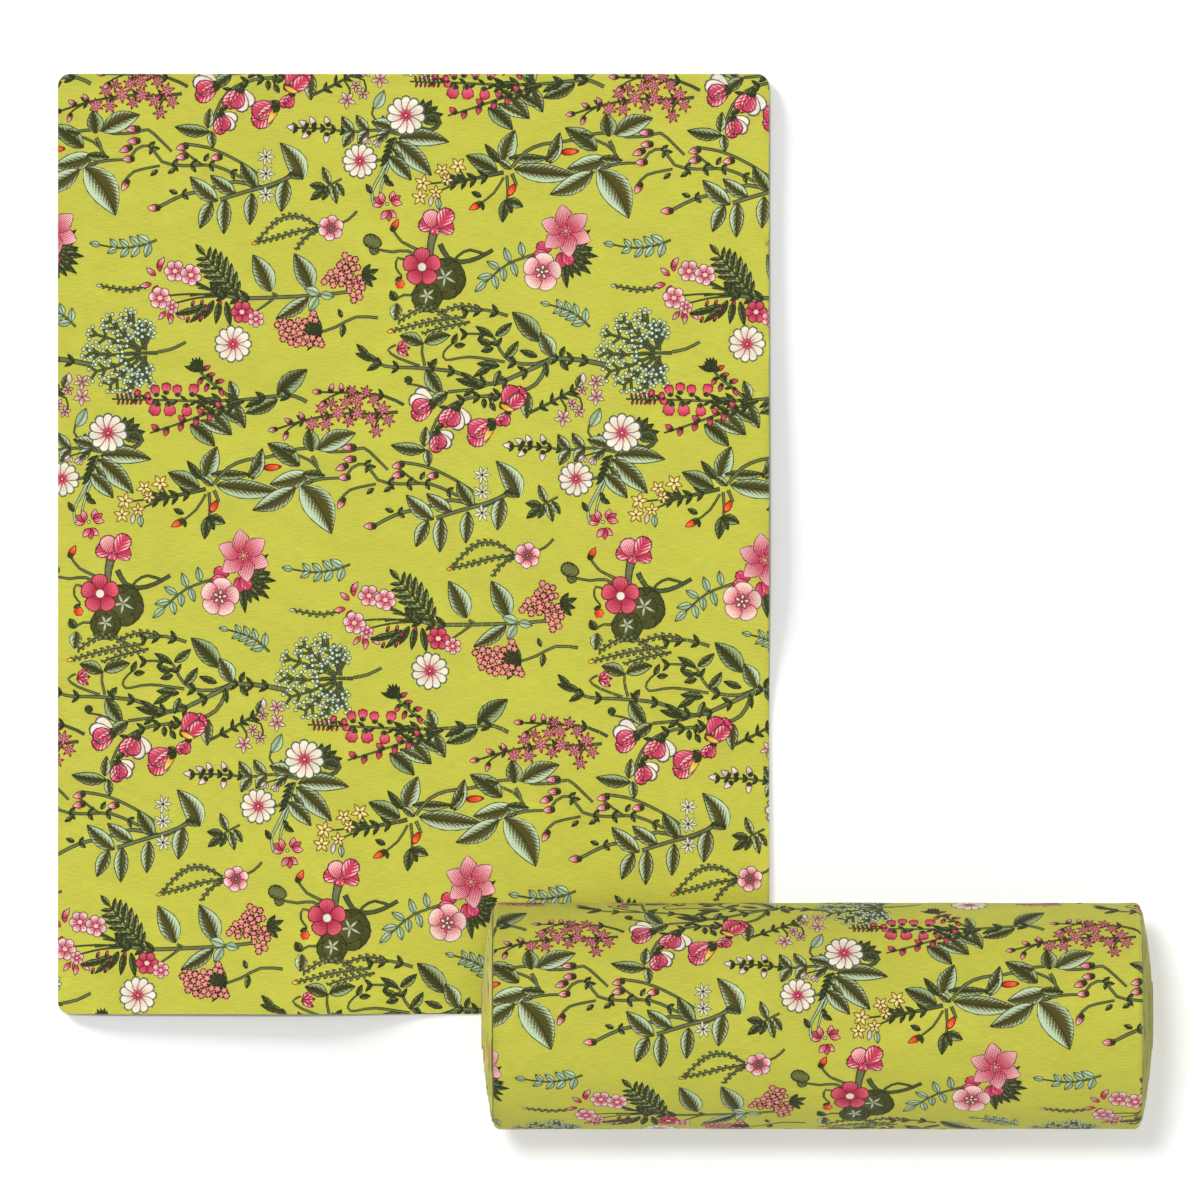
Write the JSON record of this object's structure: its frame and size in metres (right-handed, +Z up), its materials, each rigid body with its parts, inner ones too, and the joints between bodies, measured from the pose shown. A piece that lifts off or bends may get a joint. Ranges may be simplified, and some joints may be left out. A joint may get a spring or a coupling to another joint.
{
  "type": "fabric bolt",
  "caption": "Printed cloth wound on a cardboard tube, its taped free end able to lift, lying across the corner of a flat length of the same cloth",
  "frame": {"origin": "middle of the footprint, on the floor the part lies on", "axes": "+Z up, +X along the roll's axis, +Y from the roll towards the far edge of the flat length"},
  "size_m": [0.9808, 0.9456, 0.2041],
  "materials": {
    "flat_cloth": "matte plain weave with a printed flower pattern on lime green",
    "roll_cloth": "matte plain weave with a printed flower pattern on lime green, wound edges showing at the ends",
    "tail_cloth": "matte plain weave with a printed flower pattern on lime green",
    "kraft_board": "spirally wound brown board",
    "clear_tape": "thin frosted adhesive tape",
    "paper_tape": "matte crepe paper tape"
  },
  "bodies": {
    "sheet": {"flat_length": "flat_cloth"},
    "bolt": {"wound_cloth": "roll_cloth", "core_tube": "kraft_board", "starter_tape": "paper_tape"},
    "tail": {"tail_flap": "tail_cloth", "closing_tape_left": "clear_tape", "closing_tape_middle": "clear_tape", "closing_tape_right": "clear_tape"}
  },
  "joints": [
    {"name": "bolt_turn", "type": "hinge", "parent": "sheet", "child": "bolt", "pos_m": [0.1904, -0.371, 0.1028], "axis": [1, 0, 0], "continuous": true},
    {"name": "tail_lift", "type": "hinge", "parent": "bolt", "child": "tail", "pos_m": [0.1904, -0.46388, 0.06338], "axis": [-1, 0, 0], "range_deg": [0, 40]}
  ]
}
